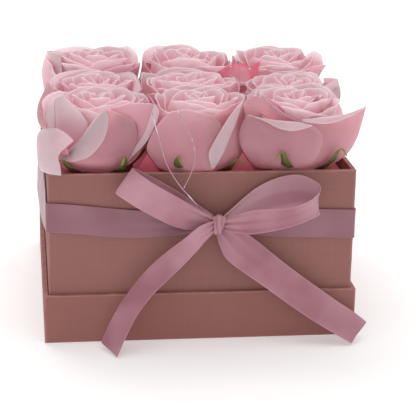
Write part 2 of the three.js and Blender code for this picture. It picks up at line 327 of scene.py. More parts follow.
def tinsel_look(name):
    """Iridescent film: its pink is painted in for the petals seen through the clear film, with painted
    lavender and green glints here and there.
    """
    look = Look(name, Roughness=0.25, Specular_IOR_Level=0.6)
    # painted glints: noise spots of lavender and green on the see-through pink
    shift = look.noise(150, 1.0)
    pink_and_lavender_glint = look.blend(look.scale(shift, 0.53, 0.6), (0.6, 0.38, 0.44), (0.93, 0.84, 1.0))
    look.colour(look.blend(look.scale(shift, 0.38, 0.3), pink_and_lavender_glint, (0.7, 0.95, 0.82)))
    return look.material


BOX_PAPER = paper_look("box_paper", (0.365, 0.166, 0.149), (0.323, 0.143, 0.127), HALF, RIM, FOOT)
LID_PAPER = paper_look("lid_paper", (0.36, 0.158, 0.138), (0.32, 0.135, 0.117), LID_HALF, LID_HIGH, 0.0)
INSERT_CARD = card_look("insert_card_paper", (0.88, 0.22, 0.3), (0.78, 0.18, 0.25))
SEPAL = sepal_look("sepal_plastic")
SATIN = satin_look("satin_pink", (0.41, 0.165, 0.212), (0.6, 0.31, 0.37))
# the right loop's back: paler as a matt satin back, partly painted light that lifts the shade the front ply
# casts on it
SATIN_BACK_LIT = satin_look("satin_pink_back_lit", (0.52, 0.25, 0.31), (0.62, 0.34, 0.4))
# the band: darker where brown paper shows through the thin satin, partly painted shade on its front, which
# faces away from the light
BAND_SATIN_SHADED = satin_look("satin_pink_flat_shaded", (0.31, 0.135, 0.168), (0.37, 0.18, 0.22), gloss=0.3)
# its glow is painted light, standing for the light that comes through the thin satin
CURL_SATIN = petal_look("satin_hot_pink", (1.0, 0.36, 0.49), (1.0, 0.24, 0.37), (0.95, 0.04, 0.13),
                        soak=0.5, glow=0.1)
# The outer petals are darker than the middle, inner and bud petals and the petals' insides: painted shade on
# the outer petals, which face the front, and painted highlight on the paler ones, which face up into the
# light.
PETALS = {
    "outer_petals": petal_look("petal_outer", (0.58, 0.3, 0.34), (0.53, 0.23, 0.268), (0.68, 0.2, 0.26)),
    "middle_petals": petal_look("petal_middle", (0.86, 0.65, 0.695), (0.87, 0.58, 0.635), (0.92, 0.39, 0.46)),
    "inner_petals": petal_look("petal_inner", (0.86, 0.66, 0.705), (0.87, 0.59, 0.645), (0.92, 0.4, 0.47)),
    "bud": petal_look("petal_bud", (0.86, 0.66, 0.705), (0.87, 0.59, 0.645), (0.92, 0.39, 0.46)),
}
PETAL_INSIDE = petal_look("petal_inside", (0.8, 0.57, 0.62), (0.79, 0.495, 0.55), (0.9, 0.31, 0.38),
                          glow=0.06)


def paint(node, material):
    """Gives a CAD node its material."""
    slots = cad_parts[node].data.materials
    slots.clear()
    slots.append(material)


# ---- tinsel, the only cords
TINSEL_DIAMETER = 0.0005
# each strand's rose, its length in m, and the points it passes, mm
TINSEL = {
    "front": ("front_centre_rose", 0.0545, [
        (-27, -80, 123), (-25.5, -86, 116.5), (-23, -87.5, 107.5), (-20.5, -88, 99), (-17, -90, 92.5),
        (-13, -92.5, 87), (-8.5, -93.5, 82), (-5, -93.5, 78)]),
    "centre": ("front_centre_rose", 0.0444, [
        (-14, -80, 123.5), (-11, -86.5, 118), (-7.5, -88, 111), (-5.6, -88.2, 101), (-7.8, -88, 92.5),
        (-11, -87, 85)]),
    "middle": ("middle_centre_rose", 0.0361, [
        (24, 0, 124), (28, -10, 122.5), (31, -19, 123), (29.5, -25.5, 120.5), (24.5, -26, 114)]),
    "back": ("back_right_rose", 0.0366, [(45, 26.5, 119.5), (54, 26, 122), (69, 26, 121.5), (81, 27, 117.5)]),
}


def make_tinsel():
    film = tinsel_look("tinsel_film")
    for where, (rose, length, route) in TINSEL.items():
        line = spline(route, 30) * MM
        curve = bpy.data.curves.new(f"tinsel_{where}", "CURVE")
        curve.dimensions = "3D"
        curve.bevel_depth, curve.bevel_resolution = TINSEL_DIAMETER / 2, 3
        run = curve.splines.new("POLY")
        run.points.add(len(line) - 1)
        run.points.foreach_set("co", np.hstack([line, np.ones((len(line), 1))]).reshape(-1))
        curve.materials.append(film)
        obj = place(f"tinsel_{where}", curve)
        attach(obj, rose)
        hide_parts(f"tinsel_strand_{where}")


# ---- floor and light
def make_studio():
    """A plain white floor, a pale surround, and three large soft lamps."""
    mesh = bpy.data.meshes.new("floor")
    size = 4.0
    corners = [(-size, -size, 0), (size, -size, 0), (size, size, 0), (-size, size, 0)]
    mesh.from_pydata(corners, [], [(0, 1, 2, 3)])
    floor = place("floor", mesh)
    floor.location.z = -0.0002
    look = Look("floor_white", Roughness=0.9, Specular_IOR_Level=0.1, Emission_Color=(1.0, 1.0, 1.0, 1.0),
                Emission_Strength=0.3)
    look.colour(look.blend(look.scale(look.noise(3.0), 0.3, 0.7), (0.9, 0.9, 0.9), (0.93, 0.93, 0.93)))
    mesh.materials.append(look.material)
    world = bpy.data.worlds.new("studio")
    world.use_nodes = True
    sky = world.node_tree.nodes["Background"]
    sky.inputs["Color"].default_value = (1.0, 0.99, 0.985, 1.0)
    sky.inputs["Strength"].default_value = 0.5
    bpy.context.scene.world = world
    lamps = (("key", (-0.25, 0.85, 1.2), 1.1, 7.0, (1.0, 0.99, 0.98)),
             ("top", (0.1, 0.0, 1.5), 1.4, 6.4, (1.0, 0.99, 0.99)),
             ("front", (-0.2, -1.6, 0.5), 1.6, 2.2, (1.0, 0.99, 0.99)))
    for name, where, size, power, tint in lamps:
        light = bpy.data.lights.new(name, "AREA")
        light.shape, light.size, light.energy, light.color = "SQUARE", size, power, tint
        lamp = place(name, light)
        lamp.location = where
        lamp.rotation_euler = (Vector((0, 0, 0.06)) - Vector(where)).to_track_quat("-Z", "Y").to_euler()
    bpy.context.scene.view_settings.view_transform = "Standard"


# ---- ribbon
RIBBON = 16.0  # ribbon width, mm
# the upper and the lower edge of each loop and tail, mm
LOOP_LEFT = (
    [(5, -87.5, 68), (-12, -93, 80.5), (-28, -95, 90.5), (-38, -90, 97), (-30, -85.5, 92.5), (-14, -84, 82.5),
     (5, -85.5, 69.4)],
    [(5, -87, 62.5), (-12, -89.5, 63.5), (-32, -95, 75), (-46, -90, 83.5), (-38, -85.5, 78.5),
     (-22, -84, 69.5), (5, -85, 62)])
LOOP_RIGHT = (
    [(10, -88.5, 68.2), (15, -93, 71.6), (25, -98, 76), (42, -103, 78.8), (54, -100, 83), (58, -93, 87.5),
     (47, -84, 90.5), (29, -82.5, 84.5), (10, -85.5, 69.4)],
    [(10, -88.5, 62), (17, -92.5, 61.8), (25, -96, 62.6), (43, -101, 67.6), (59, -95, 72), (50, -86, 72),
     (30, -85, 68), (10, -85.5, 62)])
TAIL_LEFT = (
    [(5, -88.5, 68), (0.1, -93.4, 68.4), (-3.6, -95, 67.4), (-7.1, -95, 64.6), (-11, -93, 60),
     (-22, -89, 49.5), (-31, -89.5, 41), (-40, -91, 30), (-46.5, -91, 18.5), (-53, -91, 3)],
    [(5, -88.5, 61.5), (-0.1, -91, 56.8), (-3.3, -92.5, 53.4), (-11, -92.5, 45), (-20, -94, 37),
     (-27.5, -96, 30), (-34.5, -99, 21.5), (-42, -103, 9), (-46.5, -106, 1)])
TAIL_RIGHT = (
    [(9, -85, 64), (22, -87, 60), (46, -88, 40.5), (67, -88, 25), (81, -88, 15), (88, -88, 9)],
    [(6, -86.5, 60.5), (8.2, -89.5, 53), (13, -90.5, 45.5), (33, -93, 31), (56, -96, 14.5), (70, -97.5, 5.5),
     (77.5, -98, 1)])


def strip(name, edges, pleat, gather, wave, start, bow, cut=0.0, inside=None):
    """A ribbon between two edges, with pleats that fan out of its gathered ends and slow waves along it.
    gather is (end, reach) of each such end, from 0 to 1 along the ribbon. pleat, wave, bow and cut are the
    height of the pleats and the waves, how far its middle bows out, and how uneven its last end is, mm."""
    along, across = 110, 14
    u, v = (spline(edge, along)[:, None] for edge in edges)
    w = np.linspace(0, 1, across + 1)[None, :, None]
    t = np.linspace(0, 1, along)[:, None, None]
    p = u * (1 - w) + v * w
    run = np.gradient(p, axis=0)
    side = np.broadcast_to(v - u, p.shape)
    normal = unit(np.cross(run, side))
    near = np.zeros_like(t)
    for end, reach in gather:
        near = np.maximum(near, np.exp(-np.abs(t - end) / reach))
    x = w + 0.02 * np.sin(9 * t + start)
    lift = pleat * near * (np.sin(2 * math.pi * (2.6 * x + 0.1 * start))
                           + 0.5 * np.sin(2 * math.pi * (5.3 * x + start)))
    lift += wave * (1 - near) * np.sin(2 * math.pi * (1.3 * t + 0.35 * w) + start)
    lift += bow * (1 - (2 * w - 1) ** 2) * (1 - near)
    p = p + normal * lift
    if cut:
        last = smooth(t, 0.97, 1.0)
        p = p + last * unit(run) * cut * np.sin(7.0 * w + 0.6)
    uv = grid_of(distances(u[:, 0])[:, None] / RIBBON, w[..., 0])
    sheet = Sheet()
    sheet.grid(p, uv, edge=np.abs(2 * w[..., 0] - 1))
    return sheet.make(name + "_satin", SATIN, 0.3, inside=inside)


def make_band():
    """The ribbon round the box, drawn in and pleated where it meets the knot."""
    sheet = Sheet()
    radius, off = 1.6, 0.75  # of its corners, and its distance from the box, mm
    corner = HALF + off
    straight = corner - radius
    nodes = [(KNOT_X, -corner)]
    for k, (cx, cy) in enumerate(((straight, -straight), (straight, straight), (-straight, straight),
                                  (-straight, -straight))):
        for angle in np.linspace(-90 + 90 * k, 90 * k, 7):
            a = math.radians(angle)
            nodes.append((cx + radius * math.cos(a), cy + radius * math.sin(a)))
    nodes.append(nodes[0])
    line = [nodes[0]]
    for (ax, ay), (bx, by) in zip(nodes, nodes[1:]):
        steps = max(1, int(math.dist((ax, ay), (bx, by)) / 2.5))
        line += [(ax + (bx - ax) * i / steps, ay + (by - ay) * i / steps) for i in range(1, steps + 1)]
    line = np.array(line)
    run = unit(np.gradient(line, axis=0))
    out = np.stack([run[:, 1], -run[:, 0]], 1)
    w = np.linspace(0, 1, 15)[None, :]
    x, y = line[:, :1], line[:, 1:]
    front = smooth(-y, HALF - 1, HALF + 0.5)
    left = x < KNOT_X
    near = front * np.exp(-((np.abs(x - KNOT_X) / np.where(left, 25.0, 17.0)) ** 1.6))  # 1 at the knot
    high = RIBBON * (1 - 0.5 * near)
    dip = 2.4 * front * smooth(x, -HALF, -34.0) * (1 - near) * left
    z = 65.0 - 0.04 * x + (0.5 - w) * high - 1.2 * near - dip
    lift = 0.9 * near * np.sin(2 * math.pi * (2.7 * w + 0.05)) + 1.7 * near
    lift = lift + 0.12 * np.sin(x * 0.09 + y * 0.13 + 3 * w) * (1 - near) + 0.14
    at_left = smooth(-x, HALF, HALF + 0.6) * np.clip(np.cos(y / HALF * math.pi / 2), 0, 1) ** 0.7
    lift = lift + 3.4 * at_left * w**0.8  # its lower edge stands off the left side
    px = x + out[:, :1] * lift
    py = y + out[:, 1:] * lift
    uv = grid_of(distances(line)[:, None] / RIBBON, w)
    sheet.grid(grid_of(px, py, z)[:, ::-1], uv[:, ::-1], edge=np.abs(2 * w - 1))
    return sheet.make("band_satin", BAND_SATIN_SHADED, 0.3)


def make_knot():
    """The ribbon's turn round the crossing, squeezed into pleats."""
    sheet = Sheet()
    t = np.linspace(0, 2 * math.pi, 49)[:-1][:, None]
    w = np.linspace(-1, 1, 17)[None, :]
    belly = 1 - 0.22 * w**2
    slant = 5.0 * w + 1.9 * np.sin(t) + 0.6 * np.sin(2 * t + 1)
    pleats = 0.5 * np.sin(slant + 0.6) + 0.25 * np.sin(2.3 * slant + 2) + 0.1 * np.sin(17 * w + 3 * np.sin(t))
    deep = 3.7 * belly + pleats
    high = 5.1 * belly + 0.5 * pleats + 0.8 * w * np.cos(t)
    x = KNOT_X - 0.5 + 0.7 * np.sin(t) + (2.6 + 0.9 * np.sin(t)) * w
    y = -87.0 - deep * np.cos(t)
    z = 64.8 + high * np.sin(t)
    points = grid_of(x, y, z)
    uv = grid_of(t * 1.2, 0.5 + w / 2)
    edge = np.broadcast_to(np.abs(w), points.shape[:2])
    sheet.grid(points.transpose(1, 0, 2), uv.transpose(1, 0, 2), closed=True, edge=edge.T)
    return sheet.make("knot_satin", SATIN, 0.5)


def make_ribbon():
    """The band, the knot, two loops and two tails, each with its flat length in m."""
    knot_on, ends = "bow_knot", ((0, 0.12),)
    for node, piece, length, held, rests_on in (
            ("ribbon_band", make_band(), 0.648, "stretched", "box_body"),
            ("bow_knot", make_knot(), 0.015, "folded", "ribbon_band"),
            ("bow_loop_left", strip("bow_loop_left", LOOP_LEFT, 0.75, ((0, 0.13), (1, 0.13)), 0.6, 0.4, 0.5),
             0.108, "folded", knot_on),
            ("bow_loop_right", strip("bow_loop_right", LOOP_RIGHT, 0.75, ((0, 0.2), (1, 0.13)), 0.6, 1.9, 0.9,
                                     inside=SATIN_BACK_LIT), 0.109, "folded", knot_on),
            ("bow_tail_left", strip("bow_tail_left", TAIL_LEFT, 0.7, ends, 0.7, 0.2, 0.35, 0.12),
             0.088, "hung", knot_on),
            ("bow_tail_right", strip("bow_tail_right", TAIL_RIGHT, 0.7, ends, 0.7, 1.4, 0.35, 0.12),
             0.092, "hung", knot_on)):
        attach(piece, "box")
        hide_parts(node)


# ---- roses
PROFILE_STEPS = 160


class Profile:
    """A petal's middle line from its foot to its tip, as (radius from the rose's axis, height), mm."""

    def __init__(self, *points):
        line = spline(points, PROFILE_STEPS)
        self.line = np.vstack([line, line[-1] + unit(line[-1] - line[-2]) * 14])  # on straight past the tip
        self.along = distances(self.line)
        self.run = unit(np.gradient(self.line, self.along, axis=0))

    def at(self, s):
        """Radius, height, and the direction that faces outwards, that far along the line."""
        s = np.clip(s, 0, self.along[-1])
        r, z = (np.interp(s, self.along, self.line[:, k]) for k in (0, 1))
        tr, tz = (np.interp(s, self.along, self.run[:, k]) for k in (0, 1))
        return r, z, tz, -tr

    def reach(self, height):
        """How far along the line that height is first reached."""
        first = np.argmax(self.line[:, 1] >= height) or len(self.line) - 1
        return self.along[first]


OUTER = Profile((5, 85.8), (11, 86.8), (16.8, 89.0), (21.2, 93.2), (24.0, 98.5), (25.6, 105), (26.2, 112),
                (26.6, 118), (27.6, 122.5), (29.4, 127))
FRONT = Profile((5, 85.8), (11, 86.8), (17.2, 89.0), (21.8, 93.2), (24.6, 98.5), (26.1, 105), (26.6, 112),
                (26.5, 119), (26.4, 125), (26.6, 131))
MIDDLE = Profile((4.5, 87.4), (10, 90.0), (15.2, 95.0), (18.8, 102), (20.6, 110), (21.4, 117), (22.4, 122.5),
                 (24.2, 127.5))
INNER = Profile((4, 89.6), (8.6, 92.8), (12.6, 99), (15.0, 107), (16.2, 115), (16.9, 121), (18.0, 125.6),
                (19.6, 129.5))
HEART = Profile((3, 92.2), (6.4, 96.4), (9, 103), (10.6, 111), (11.5, 118.5), (12.3, 124), (13.6, 129.5))
CORE = Profile((1.6, 95), (3.6, 99), (5.2, 106), (6.2, 114), (6.7, 121), (7.2, 126), (8.0, 130))
WRAP = Profile((1.2, 96), (2.2, 102), (2.9, 110), (3.1, 119), (3.3, 125), (3.7, 130))
BELLY = Profile((5, 85.8), (14, 87), (22, 90), (28, 95), (31.5, 101), (31, 108), (28.8, 114.5), (26.6, 120),
                (25, 125))

# where the neighbouring front roses meet, as x against y, mm
MEET_Y = (-95.0, -75.0, -67.0, -56.0, -44.0)
MEET_LEFT = (-29.0, -29.0, -24.5, -24.5, -26.5)
MEET_RIGHT = (18.0, 18.0, 21.0, 24.5, 26.5)


def press(value, low, high, give=3.0):
    """Keeps values between two limits, easing up to them as a petal does against its neighbour."""
    over = value - (high - give)
    value = np.where(over > 0, high - give * np.exp(-np.maximum(over, 0) / give), value)
    under = (low + give) - value
    return np.where(under > 0, low + give * np.exp(-np.maximum(under, 0) / give), value)


FRONT_END, BACK_END, LEFT_END, RIGHT_END = -83.6, 82.0, -86.0, 88.5  # how far the petals may reach, mm


def settle(x, y, z, column, row):
    """Presses a petal against the neighbouring roses and inside the box's rim."""
    gap = 0.25
    y = press(y, FRONT_END if row < 0 else PITCH * (row - 0.5) + gap,
              BACK_END if row > 0 else PITCH * (row + 0.5) - gap)
    low, high = PITCH * (column - 0.5), PITCH * (column + 0.5)
    if row < 0:
        left, right = np.interp(y, MEET_Y, MEET_LEFT), np.interp(y, MEET_Y, MEET_RIGHT)
        low, high = (low, left) if column < 0 else (left, right) if column == 0 else (right, high)
    x = press(x, LEFT_END if column < 0 else low + gap, RIGHT_END if column > 0 else high - gap)
    wall = 77.0 + 12.0 * smooth(z, RIM + 0.6, RIM + 5.5)  # the inside of the box, free above its rim
    return np.stack([press(x, -wall, wall, 1.0), press(y, -wall, wall, 1.0), z], -1)


def petal(sheet, rose, azimuth, profile, width, middle, top, seed=0, cup=1.1, square=2.3, tip=0.0,
          stagger=1.0, lip=0.8, folds=(), ripple=0.5, crush=0.5, out=0.0, low=(86, 96, 0.25), grid=14):
    """One petal. Azimuth 0 faces the front, in degrees. folds are (right, up, distance, radius, angle): the
    part of the petal that lies further than distance from its middle, in that direction, is rolled back
    outwards. low is (from, to, share): the deep colour, painted shade and bounce light at the petal's foot,
    fades out between those two heights, mm."""
    column, row = rose
    rng = np.random.default_rng(seed)
    t = np.linspace(-1, 1, grid + 1)
    u, v = np.meshgrid(t, t)
    p, q = u * np.sqrt(1 - v * v / 2), v * np.sqrt(1 - u * u / 2)  # the square grid bent into a disc
    rho, phi = np.hypot(p, q), np.arctan2(q, p)
    # the disc grows into a rounded square, with a point at the top and a ragged edge
    grow = (np.abs(np.cos(phi)) ** square + np.abs(np.sin(phi)) ** square) ** (-1 / square)
    grow *= 1 + tip * np.exp(-((np.degrees(phi) - 90) / 13.0) ** 2)
    for k in (3, 5, 8, 13):
        grow *= 1 + 0.2 / k * rng.uniform(-1, 1) * rho * np.sin(k * phi + phase(rng))
    a0, b0 = p * grow, q * grow
    mid, end = profile.reach(middle), profile.reach(top)
    # a is across the petal, b along its middle line, and lift how far it stands off that line, mm
    a = a0 * width / 2
    b = mid + np.where(b0 > 0, b0 * (end - mid), b0 * (mid - 0.4))
    upper = smooth(q, -0.45, 0.35)
    lift = stagger * a0 * 1.3 + out + lip * upper * smooth(rho, 0.72, 1.0) ** 2
    for k, share in ((2, 0.5), (4, 0.4), (9, 0.4)):
        lift += ripple * share * upper * smooth(rho, 0.3, 1.0) * np.sin(k * phi * 1.3 + phase(rng))
    for _ in range(3):
        turn, pace = rng.uniform(0, 3.14), rng.uniform(0.12, 0.24)
        lift += crush * 0.4 * np.sin(pace * (a * math.cos(turn) + b * math.sin(turn)) + phase(rng))
    for right, up, distance, radius, angle in folds:
        size = math.hypot(right, up)
        right, up = right / size, up / size
        past = np.maximum(a * right + b * up - mid * up - distance, 0)
        bend = np.minimum(past / radius, angle)
        rest = past - bend * radius
        moved = radius * np.sin(bend) + rest * math.cos(angle) - past
        a, b = a + right * moved, b + up * moved
        lift = lift + radius * (1 - np.cos(bend)) + rest * math.sin(angle)
    # the petal is wrapped round the rose's axis, cup times as wide as a circle would
    r, z, nr, nz = profile.at(b)
    curve = np.maximum(r, 2.0) * cup
    psi = np.clip(a / curve, -2.6, 2.6)
    radial = r - curve * (1 - np.cos(psi)) + lift * nr * np.cos(psi)
    across = curve * np.sin(psi) + lift * nr * np.sin(psi)
    z = z + lift * nz
    turn = math.radians(azimuth)
    x = column * PITCH + radial * math.sin(turn) + across * math.cos(turn)
    y = row * PITCH - radial * math.cos(turn) + across * math.sin(turn)
    xyz = settle(x, y, z, column, row)
    start, end, most = low
    sheet.grid(xyz, np.stack([a0, b0], -1) * 0.5 + 0.5, edge=rho * upper + (1 - upper) * 0.5,
               low=most * (1 - smooth(z, start, end)))


PLAIN = (86, 90, 0)  # the low of a petal with no painted deep-pink shade at its foot
TURNED = dict(flip=True, low=PLAIN)  # a part that a fold turns over, so that its inside shows


def drape(sheet, rose, *lines, radius=26.0, flip=False, low=(86, 96, 0.25), seed=0, rows=26, span=8,
          crush=0.25, ripple=0.25):
    """A petal, or the part of it that a fold turns over, stretched between lines that run from its foot to
    its tip. Points are in mm from the rose's axis, and the petal bulges between the lines like a cup of that
    radius. flip turns its inside out, rows and span are its points along a line and its steps between two."""
    column, row = rose
    rng = np.random.default_rng(seed)
    curves = [spline(line, rows) for line in lines]
    parts, share = [], []
    for k, (a, b) in enumerate(zip(curves, curves[1:])):
        w = np.linspace(0, 1, span + 1)[:, None, None]
        w = w if k == 0 else w[1:]
        p = a * (1 - w) + b * w
        wide = np.linalg.norm(b - a, axis=1)[None, :, None]
        away = unit(p * (1, 1, 0))
        parts.append(p + away * (wide**2 / (8 * radius) * 4 * w * (1 - w)))
        share.append((k + w[:, 0, 0]) / (len(curves) - 1))
    xyz, w = np.concatenate(parts), np.concatenate(share)[:, None]
    t = np.linspace(0, 1, rows)[None, :]
    edge = np.maximum(np.abs(2 * w - 1), np.broadcast_to(2 * t - 1, (len(w), rows)))
    away = unit(xyz * (1, 1, 0.3))
    inside = 1 - smooth(edge, 0.8, 1.0)
    lift = 0
    for _ in range(3):
        turn, pace = rng.uniform(0, 3.14), rng.uniform(0.15, 0.3)
        lift = lift + crush * np.sin(pace * (xyz[..., 0] * math.cos(turn) + xyz[..., 2] * math.sin(turn))
                                     + phase(rng)) * inside
    lift = lift + ripple * (1 - inside) * np.sin(11 * t + 5 * w + phase(rng)) * smooth(t, 0.1, 0.4)
    xyz = xyz + away * lift[..., None] + (column * PITCH, row * PITCH, 0.0)
    start, end, most = low
    uv = grid_of(w, t)
    order = slice(None, None, 1 if flip else -1)
    sheet.grid(xyz[order], uv[order], edge=edge[order],
               low=most * (1 - smooth(xyz[order][..., 2], start, end)))


# ways in which a petal's edge is rolled back, as petal()'s folds
ROLLS = (
    (),
    ((0.75, 0.66, 16.0, 2.4, 1.5),),
    ((-0.6, 0.8, 15.5, 2.4, 1.5),),
    ((0.1, 1.0, 15.0, 2.6, 1.3),),
)

FRONT_CENTRE = dict(azimuth=40, profile=FRONT, width=36, middle=107, top=126, stagger=0.2, out=0.6, cup=1.2,
                    grid=28, lip=0.4)
MIDDLE_LEFT = dict(azimuth=-84, profile=BELLY, width=46, middle=107, top=123.5, stagger=0.3, cup=1.2, lip=0.6)
# for each rose that isn't an even ring: one outer petal of its own shape, if it has one, and the azimuths
# of the plain ones
SIDES = {"front_left": (None, (112, 182, -118)), "front_centre": (FRONT_CENTRE, (105, 180, -95)),
         "front_right": (None, (158, 190, -112, -75)), "middle_left": (MIDDLE_LEFT, (-12, 60, 132, 204)),
         "middle_right": (None, (10, -62, 75, 158)), "back_left": (None, (-8, 64, 136, 208))}


# the petals shaped one by one, each rose's in one function whose add(...) is drape() on that rose's sheet
def drape_front_left(add):
    """The corner rose: a broad upright petal, one that hangs over the box's corner, and one folded across."""
    upright = [(-19, -14, 96), (-22, -15, 104), (-22.2, -15.6, 112), (-22.4, -15.2, 120.5), (-22, -15, 127),
               (-17.5, -19, 129.5)]
    add([(-24, -6, 96), (-27, -8, 105), (-27, -7, 115.5), (-25.8, -5.5, 120.5), (-22.6, -6.5, 125.5),
         (-17.5, -10, 129.5)], upright, flip=True, span=5, seed=1, radius=60)
    add(upright,
        [(-4, -23, 98), (-5, -24.5, 106), (-6, -25, 116.5), (-7, -24.8, 119), (-11, -23.2, 124),
         (-17.5, -19, 129.5)], seed=2, flip=True, low=(98, 124, 0.9))
    side = [(10, -16, 90), (14.5, -20.5, 99), (21.6, -20.8, 109), (25, -20.6, 117.4), (26.2, -19.2, 121),
            (27.6, -17.4, 125.2)]
    add([(4, -17, 96), (5, -20.5, 106), (5, -23, 114), (5.3, -24.4, 121), (5.3, -24.6, 125.4)],
        [(9, -17, 94), (14, -19, 106), (16, -21, 114), (16, -22.4, 121), (15, -22.8, 127.2)], side, seed=19,
        low=(98, 124, 0.6))
    add(side,
        [(10.5, -17, 89.6), (15.5, -21.8, 97.4), (21.8, -21.4, 103.6), (25.8, -21.3, 109.2),
         (29.6, -20.2, 117.2), (30.7, -19.2, 122), (27.8, -17.6, 125.2)], seed=20, span=5, radius=12,
        **TURNED)
    hang = [(-29, -19, 113), (-25.5, -27, 116), (-22, -28, 115.5)]
    add([(-14, -9, 89), (-22, -15, 97), (-27, -17, 106), hang[0]],
        [(-12, -13, 89), (-18, -20, 97), (-22, -25, 107), hang[1]],
        [(-9, -15, 89), (-14, -23, 97), (-18, -26, 107), hang[2]], seed=3, span=5)
    add([hang[0], (-31.6, -18.5, 109.5), (-31.9, -18, 102.5), (-31.6, -19, 95.5), (-30, -22, 91.8)],
        [hang[1], (-25, -30.4, 112.6), (-25.5, -31, 106.5), (-26.3, -30.8, 100), (-26.6, -30, 92.4)],
        [hang[2], (-17.5, -30.8, 113.7), (-13.6, -31.6, 110), (-14.2, -31.7, 109.2), (-21, -32, 102.8),
         (-20.6, -31.5, 97.5), (-19.6, -30.4, 91.2)], seed=4, span=6, radius=40, rows=30, low=PLAIN)
    fold = [(-20.5, -21, 98.8), (-17.5, -22.8, 101.2), (-10.5, -27.2, 109.5), (-5.5, -29.2, 117),
            (-2.5, -29.6, 121.5), (1.7, -29, 125.5)]
    add([(-12, -12, 89), (-16, -18, 93.5), (-19.5, -21, 98.2)] + fold[2:],
        [(4, -15, 88), (11, -18, 91.5), (16.6, -20, 98), (19.8, -19.5, 105), (21, -19.5, 110.5),
         (18.5, -21.5, 116.5), (10, -26.4, 122), (5.7, -28.2, 124.2), fold[-1]], seed=5, rows=34, span=14,
        crush=0.35)
    add([(x, y - 0.5, z) for x, y, z in fold],
        [(-20.5, -21.2, 97.2), (-16.3, -24.4, 97), (-12, -27.6, 98), (-6.5, -30.2, 100.6), (-2, -31.2, 105),
         (1.6, -31.4, 110.2), (3.7, -30.8, 117), (3.7, -30.2, 122), (1.7, -29.6, 125.5)], seed=6, rows=34,
        radius=18, **TURNED)


def drape_front_centre(add):
    """The middle rose's broad front petal and, beside it, an edge folded back in one long narrow leaf."""
    add([(-12, -12, 88), (-21, -17.5, 90.5), (-26, -18.5, 96), (-29, -20.5, 102), (-27, -23, 109.5),
         (-23.2, -24.5, 117), (-18, -25.5, 122.6)],
        [(-6, -14, 87.5), (-8, -22, 89), (-10.5, -26, 94.5), (-12, -28, 103), (-11.5, -28.6, 112),
         (-10.5, -28, 120), (-9.8, -27.2, 124.6)],
        [(2, -14, 87.5), (4, -22, 89), (6, -27, 94.5), (7.5, -28.6, 102), (9, -28.4, 110),
         (8, -28.2, 116.6), (4, -27.6, 121.2)], seed=18, rows=32, span=12, radius=60, crush=0.3)
    add([(5.2, -26.5, 92.5), (9.5, -28.2, 101), (12.5, -27.6, 108.5), (16.5, -25, 117.5),
         (19.5, -22, 124.5), (20.4, -20.6, 128)],
        [(3.4, -28.2, 94.5), (1.6, -30.6, 102), (3.8, -30.8, 107.5), (8.8, -29.6, 116),
         (14.7, -26.4, 123.5), (20.4, -20.8, 128)], seed=7, radius=14, low=PLAIN)


def drape_front_right(add):
    """The corner rose's flared petal with its rolled top, and the leaning one with two pale folds."""
    add([(1, -21, 89), (3, -25, 98), (2, -27, 108), (-1, -27.2, 115), (-3.4, -26.8, 118.3)],
        [(13, -8, 88), (19.5, -9.5, 90.5), (24.3, -11, 94.4), (28.2, -9.6, 98.6), (31.4, -8, 105),
         (34.2, -6, 113), (35.8, -5, 120)], seed=8, rows=30, span=14, radius=44)
    add([(-14, -12, 88), (-24, -16, 90.5), (-31, -18.5, 98.5), (-34.2, -21, 106), (-33.8, -22, 113),
         (-30.8, -21.6, 120)],
        [(-6, -21, 88), (-8, -25.5, 94), (-10, -28, 102), (-10.5, -28.6, 109), (-11, -27.6, 114),
         (-12.5, -25.6, 117.7)],
        [(3, -18, 88), (4.5, -25, 95), (7, -27.4, 101.5), (8.2, -28.4, 107.3), (6.2, -28.6, 112.3),
         (2.3, -28.6, 115.7)], seed=16, rows=32, span=12, crush=0.35)
    add([(-30, -22.4, 120), (-22, -25.9, 118.9), (-12.5, -27.6, 118), (-5.5, -29.4, 117.6),
         (2.3, -29.6, 116)],
        [(-30, -22.6, 119.8), (-22, -26.8, 117.4), (-15.8, -28.6, 114.4), (-9.3, -30.8, 113.3),
         (-3.6, -31.2, 114), (2.3, -29.8, 115.7)], seed=17, span=6, radius=40, **TURNED)
    add([(-3.4, -28.4, 118.4), (7, -27.4, 119.7), (19, -22.4, 119.5), (28, -15, 119.8), (35.8, -5.4, 120)],
        [(-3, -28.6, 117.6), (5, -29.6, 116.6), (13, -27.2, 116.4), (21, -22.6, 117.4), (30.4, -13.8, 119),
         (35.8, -5.6, 120)], seed=9, span=5, radius=60, **TURNED)
    add([(-18, -12, 98), (-27, -13.5, 110), (-30.6, -15, 119), (-31, -16, 125.5), (-25.5, -17, 129)],
        [(-2, -21, 98), (-1, -22.5, 110), (-4.3, -22.4, 116.4), (-13, -21.4, 121.3), (-20, -19.6, 126.6),
         (-25.5, -17, 129)], seed=10, low=(104, 122, 0.5))
    add([(-4.3, -23, 116.6), (-13, -22, 121.6), (-20, -20.2, 127), (-23, -17, 129)],
        [(-4.3, -23.2, 116.2), (-10.8, -23.4, 118.2), (-17.4, -22.8, 121.8), (-20.4, -21.4, 126),
         (-23, -17.2, 129)], seed=11, span=4, radius=20, **TURNED)
    add([(0.5, -19, 117.4), (-9.5, -17.8, 122), (-20, -16, 128)],
        [(-0.5, -19.4, 116.2), (-10.5, -18.8, 120), (-19.5, -16.8, 126.4)], seed=12, span=3, radius=60,
        **TURNED)
    add([(-1, -15, 108), (-1, -14, 114), (2, -11.5, 119.5), (5.5, -9.5, 124), (9, -8, 127)],
        [(13, -12, 106), (12.5, -12, 112), (11.5, -11, 118), (10.5, -9.5, 123), (9, -8, 127)], seed=13,
        low=(104, 124, 0.7))


